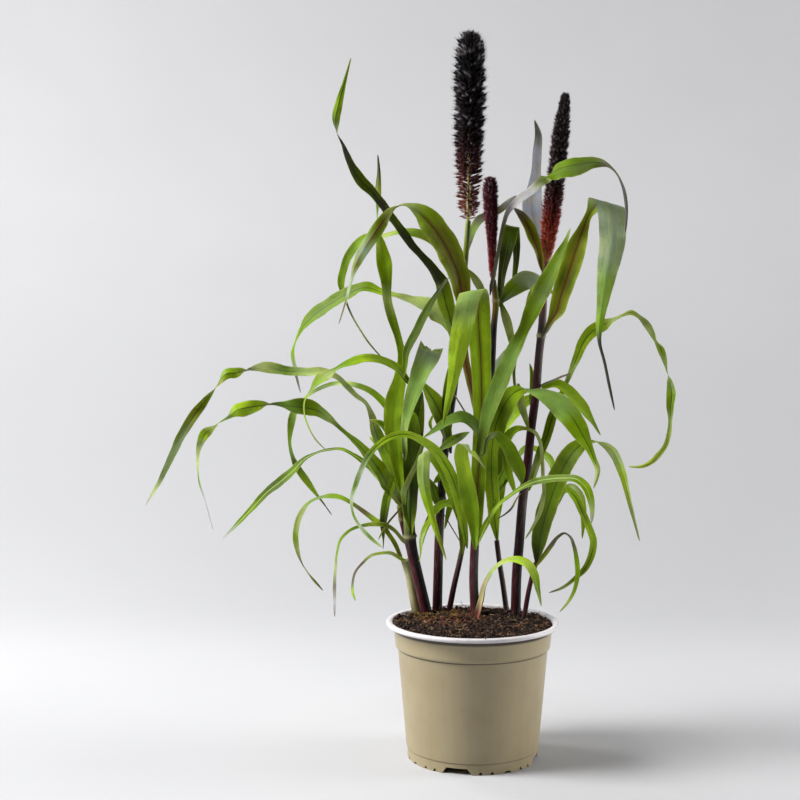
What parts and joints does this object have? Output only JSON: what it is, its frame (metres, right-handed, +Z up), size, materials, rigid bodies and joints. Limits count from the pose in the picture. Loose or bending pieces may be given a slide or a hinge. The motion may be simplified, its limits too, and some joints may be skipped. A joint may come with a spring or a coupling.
{
  "type": "potted fountain grass clump",
  "caption": "Clump of ornamental fountain grass with dark upright flower spikes and arching, folded blades, planted in a sand-coloured nursery pot.",
  "frame": {"origin": "middle of the flat hub under the pot, on the ground", "axes": "+Z up along the pot's axis, +X to the right and -Y towards a viewer who faces the plant's front"},
  "size_m": [0.5902, 0.3013, 0.7875],
  "materials": {
    "pot": "satin sand beige with an off-white rim",
    "soil": "crumbly dark brown peat mix",
    "stem": "satin dark burgundy",
    "sheath": "matt pale straw green",
    "spike": "matt bristly, near black above to red brown below",
    "blade": "satin yellow green to olive"
  },
  "bodies": {
    "root": {"pot": "pot", "soil": "soil", "stem_left_sheath": "sheath", "stem_left": "stem", "stem_left_rear": "stem", "stem_tall": "stem", "stem_slender": "stem", "stem_red": "stem", "stem_thin_right": "stem", "stem_right": "stem", "stem_low_right": "stem", "spike_tall": "spike", "spike_small": "spike", "spike_right": "spike", "blade_far_left": "blade", "blade_left_second": "blade", "blade_left_low": "blade", "blade_left_loop": "blade", "blade_left_light": "blade", "blade_left_upright": "blade", "blade_left_branch": "blade", "blade_left_torn": "blade", "blade_low_arc": "blade", "blade_low_wisp": "blade", "blade_low_hanging": "blade", "blade_up_left": "blade", "blade_olive": "blade", "blade_behind_olive": "blade", "blade_pale_left": "blade", "blade_flag": "blade", "blade_mid_left": "blade", "blade_arch": "blade", "blade_hanging_left": "blade", "blade_low_bow": "blade", "blade_big_fold": "blade", "blade_bright_fold": "blade", "blade_mid_level": "blade", "blade_twisted": "blade", "blade_dark_fold": "blade", "blade_pale_right": "blade", "blade_node_hanging": "blade", "blade_fold_right": "blade", "blade_droop": "blade", "blade_strip": "blade", "blade_back_tail": "blade", "blade_behind_right": "blade", "blade_back_loop": "blade", "blade_up_right": "blade", "blade_right_fold": "blade", "blade_thin_arch": "blade", "blade_right_rear": "blade", "blade_lilac": "blade", "blade_olive_right": "blade", "blade_broad_right": "blade", "blade_low_reach": "blade", "blade_right_bow": "blade", "blade_right_drop": "blade", "blade_right_hook": "blade", "sprout": "blade"}
  },
  "joints": []
}
